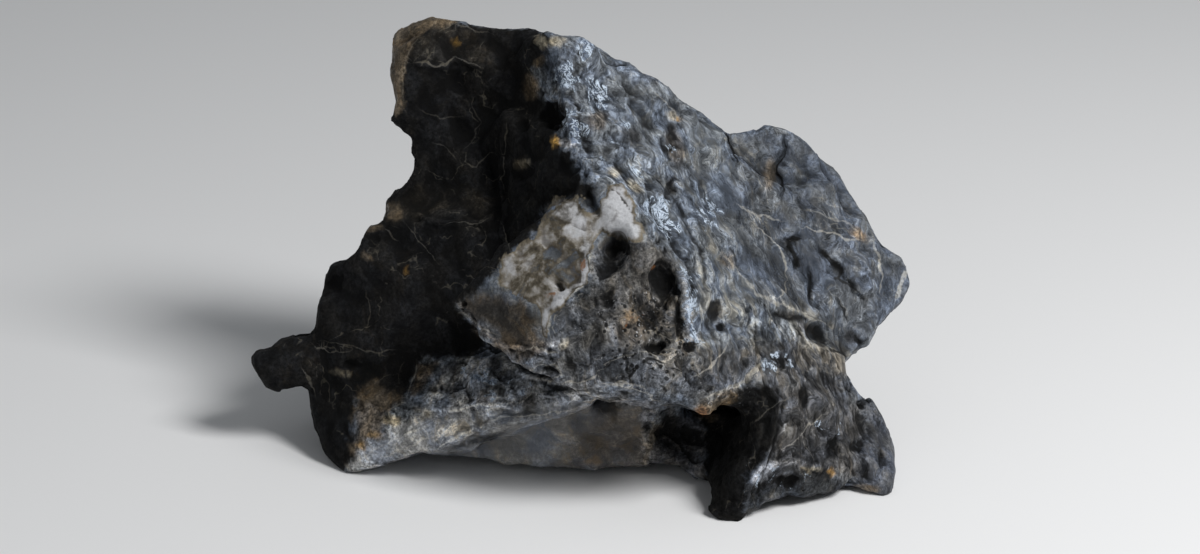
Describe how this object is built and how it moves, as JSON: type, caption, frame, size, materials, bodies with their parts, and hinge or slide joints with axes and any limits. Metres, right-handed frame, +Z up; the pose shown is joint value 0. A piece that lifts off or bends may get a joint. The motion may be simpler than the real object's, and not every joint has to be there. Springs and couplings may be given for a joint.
{
  "type": "dragon stone",
  "caption": "Craggy blue-grey landscaping stone with a peaked ridge, an overhanging pale nose, a cave and quartz veins; it stands on small flat spots.",
  "frame": {"origin": "middle of the bounding box's underside, on the ground that the stone stands on", "axes": "+X to the viewer's right along the longest side, +Y away from the viewer, +Z up"},
  "size_m": [0.224, 0.1354, 0.1402],
  "materials": {
    "stone": "rough broken dark blue-grey rock with a damp-looking sheen, white quartz and tan veins"
  },
  "bodies": {
    "root": {"stone": "stone"}
  },
  "joints": []
}
